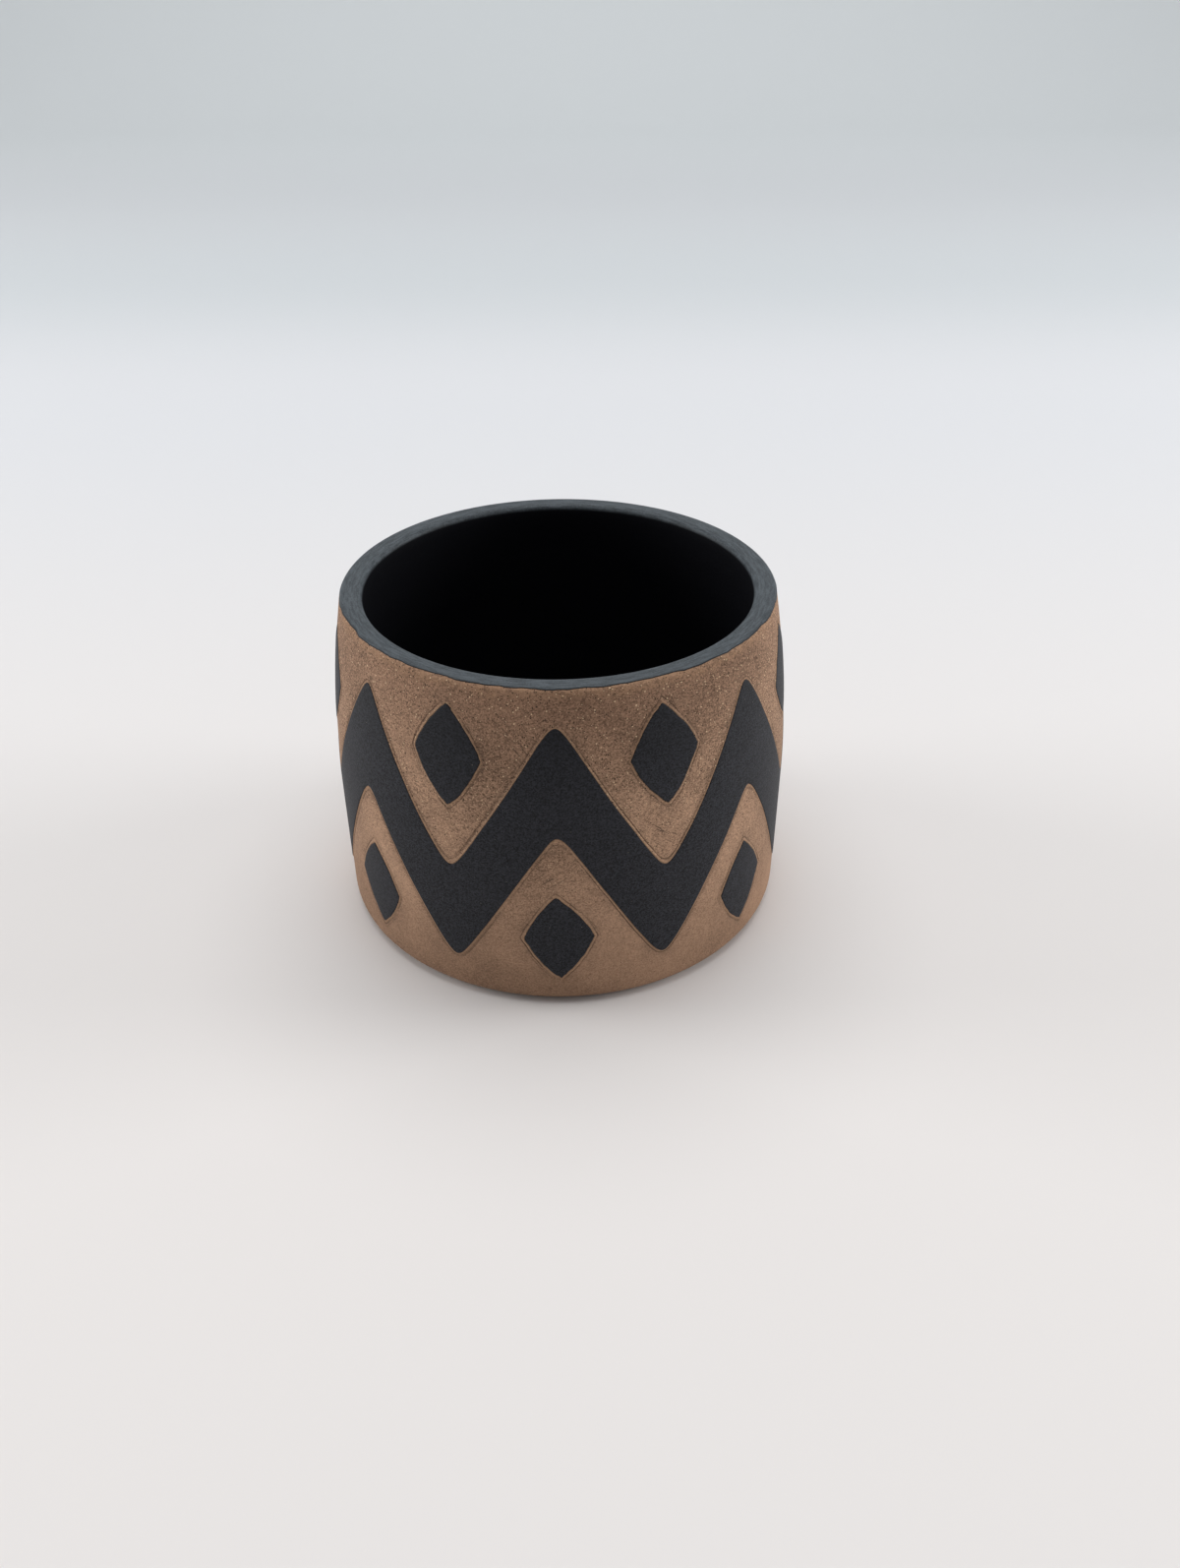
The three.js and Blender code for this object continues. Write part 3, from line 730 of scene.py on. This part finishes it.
# Matt black glaze: short of silica, so fine crystals scatter the light and it has a satin sheen. On the flat
# of
# the rim, and down the inner round as far as it faces up, it is painted slate grey with streaks that run
# round:
# a painted sheen. Elsewhere, at its edge and inside, it is near black, and inside that black also stands as
# painted shade.
SLATE_DARK, SLATE_PALE = "#323639", "#5d6368"
INSIDE_COLOUR = "#0e0e12"
RING_STREAKS_PER_MM = 2.6  # outwards from the axis
CROSS_STREAKS_PER_MM = 0.3
GLAZE_GRAINS_PER_MM = 3.0
GLAZE_RELIEF = 0.03
matt_glaze, tree, place = finish_of("matt black glaze")
painted_sheen = node(tree, "Attribute", output="Fac", attribute_name="painted_sheen")
level = node(tree, "VectorMath", {0: place, 1: (1.0, 1.0, 0.0)}, operation="MULTIPLY")
from_axis = node(tree, "VectorMath", {0: level}, "Value", operation="LENGTH")
streaks = node(tree, "CombineXYZ", {"Z": from_axis})
outwards, crosswise = (0.0, 0.0, RING_STREAKS_PER_MM), (CROSS_STREAKS_PER_MM, CROSS_STREAKS_PER_MM, 0.0)
streaks = node(tree, "VectorMath", {0: streaks, 1: outwards}, operation="MULTIPLY")
streaks = node(tree, "VectorMath", {0: level, 1: crosswise, 2: streaks}, operation="MULTIPLY_ADD")
streaks = node(tree, "TexNoise", {"Vector": streaks, "Scale": 1.0, "Detail": 3.0, "Roughness": 0.7})
streaks = node(tree, "MapRange", {"Value": streaks, "From Min": 0.4, "From Max": 0.62})
grain = {"Vector": place, "Scale": GLAZE_GRAINS_PER_MM, "Detail": 3.0, "Roughness": 0.7}
grain = node(tree, "TexNoise", grain)
grain = node(tree, "MapRange", {"Value": grain, "From Min": 0.3, "From Max": 0.7})
blend = node(tree, "Math", {0: grain, 1: 0.5}, operation="MULTIPLY")
blend = node(tree, "Math", {0: streaks, 1: 0.5, 2: blend}, operation="MULTIPLY_ADD")
slate = {0: blend, 6: linear(SLATE_DARK), 7: linear(SLATE_PALE)}
slate = node(tree, "Mix", slate, "Result", data_type="RGBA")
# painted sheen: slate grey where the sheen mask is high, near black elsewhere, which inside is also painted
# shade
colour = node(tree, "Mix", {0: painted_sheen, 6: linear(INSIDE_COLOUR), 7: slate}, "Result", data_type="RGBA")
relief = node(tree, "Math", {0: blend, 1: GLAZE_RELIEF}, operation="MULTIPLY")
dress(tree, colour, relief, roughness=0.5, gloss=0.12)

sheen_attributes = {"painted_sheen": glaze_sheen}
lining = piece("lining_glaze_coat", glaze_points, glaze_faces, matt_glaze, sheen_attributes)
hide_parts("lining_glaze")

# Floor and backdrop: a pale sheet of paper that lies flat under the tumbler and curves up behind it. Its
# sizes are in metres.
FLOOR_FRONT = -1.6
FLOOR_BACK = 1.1
SWEEP_RADIUS = 0.5
BACKDROP_TOP = 1.6
SHEET_HALF_WIDTH = 2.2
sheet_line = np.concatenate([
    [[y, 0] for y in np.linspace(FLOOR_FRONT, FLOOR_BACK, 12)],
    arc(FLOOR_BACK, SWEEP_RADIUS, SWEEP_RADIUS, -90, 0, 23)[1:],
    [[FLOOR_BACK + SWEEP_RADIUS, BACKDROP_TOP]],
])
sheet_points = [(x, y, z) for y, z in sheet_line for x in (-SHEET_HALF_WIDTH, SHEET_HALF_WIDTH)]
sheet_faces = [(2 * i, 2 * i + 1, 2 * i + 3, 2 * i + 2) for i in range(len(sheet_line) - 1)]
sheet_mesh = bpy.data.meshes.new("floor_sheet")
sheet_mesh.from_pydata(sheet_points, [], sheet_faces)
sheet_mesh.shade_smooth()
# Pale matt paper: warm in front and cooler towards the back, where it turns bluish grey soon behind the
# tumbler. Each tone comes with how far back it lies, in millimetres.
PAPER_TONES = ((-60, "#e8e4e2"), (320, "#dbdcdf"), (540, "#ced2d5"), (740, "#cfd2d5"), (1150, "#dbdfe1"))
paper, tree, place = finish_of("pale matt paper")
depth = node(tree, "SeparateXYZ", {"Vector": place}, "Y")
first, last = PAPER_TONES[0][0], PAPER_TONES[-1][0]
share = node(tree, "MapRange", {"Value": depth, "From Min": first, "From Max": last})
colour = node(tree, "ValToRGB", {"Fac": share}, "Color")
tones = colour.node.color_ramp
tones.interpolation = "EASE"
tones.elements[-1].color = linear(PAPER_TONES[-1][1])
for depth, code in PAPER_TONES[:-1]:
    tones.elements.new((depth - first) / (last - first)).color = linear(code)
tones.elements.remove(tones.elements[0])
dress(tree, colour, None, roughness=0.9, gloss=0.1)
sheet_mesh.materials.append(paper)
floor_sheet = bpy.data.objects.new("floor_sheet", sheet_mesh)
bpy.context.scene.collection.objects.link(floor_sheet)

# Light: a dim pale room, with a large soft lamp high above and a little behind, and a low one at each side.
# Past the paper's edges the camera sees the room as pale as the paper, and so do shiny and clear things.
ROOM_LIGHT = 0.27
ROOM_SEEN = 0.7
ROOM_COLOUR = "#eef1f4"
LAMPS = (
    ("lamp_above", (0.0, 0.28, 1.5), 1.6, 15.8),
    ("lamp_left", (-1.3, 0.2, 0.4), 0.7, 9.0),
    ("lamp_right", (1.3, 0.2, 0.4), 0.7, 9.8),
)
world = bpy.data.worlds.new("pale room")
world.use_nodes = True
tree = world.node_tree
seen = node(tree, "LightPath", output="Is Camera Ray")
rays = seen.node.outputs
for kind in ("Is Glossy Ray", "Is Transmission Ray"):
    seen = node(tree, "Math", {0: seen, 1: rays[kind]}, operation="MAXIMUM")
strength = node(tree, "MapRange", {"Value": seen, "To Min": ROOM_LIGHT, "To Max": ROOM_SEEN})
tree.links.new(strength, tree.nodes["Background"].inputs["Strength"])
tree.nodes["Background"].inputs["Color"].default_value = linear(ROOM_COLOUR)
bpy.context.scene.world = world
for name, place, size, power in LAMPS:
    lamp = bpy.data.lights.new(name, "AREA")
    lamp.shape = "DISK"
    lamp.size = size
    lamp.energy = power
    hung = bpy.data.objects.new(name, lamp)
    hung.location = place
    hung.rotation_euler = (-Vector(place)).to_track_quat("-Z", "Y").to_euler()
    bpy.context.scene.collection.objects.link(hung)

# Camera: a hand's height above the rim, looking down at 34 degrees, as in the photograph.
CAMERA_PLACE = (0.0058, -0.2222, 0.1723)
CAMERA_DOWN = 34.41
CAMERA_ROLL = -0.29
FOCAL_PIXELS = 1300
IMAGE_HEIGHT = 1594
SENSOR = 36.0
camera = bpy.data.cameras.new("camera")
camera.sensor_width = SENSOR
camera.lens = SENSOR * FOCAL_PIXELS / IMAGE_HEIGHT
camera.clip_start = 0.01
camera_object = bpy.data.objects.new("camera", camera)
camera_object.location = CAMERA_PLACE
pitch = Matrix.Rotation(np.radians(90 - CAMERA_DOWN), 4, "X")
roll = Matrix.Rotation(np.radians(CAMERA_ROLL), 4, "Z")
camera_object.rotation_euler = (pitch @ roll).to_euler()
bpy.context.scene.collection.objects.link(camera_object)
bpy.context.scene.camera = camera_object
bpy.context.scene.view_settings.view_transform = "Standard"
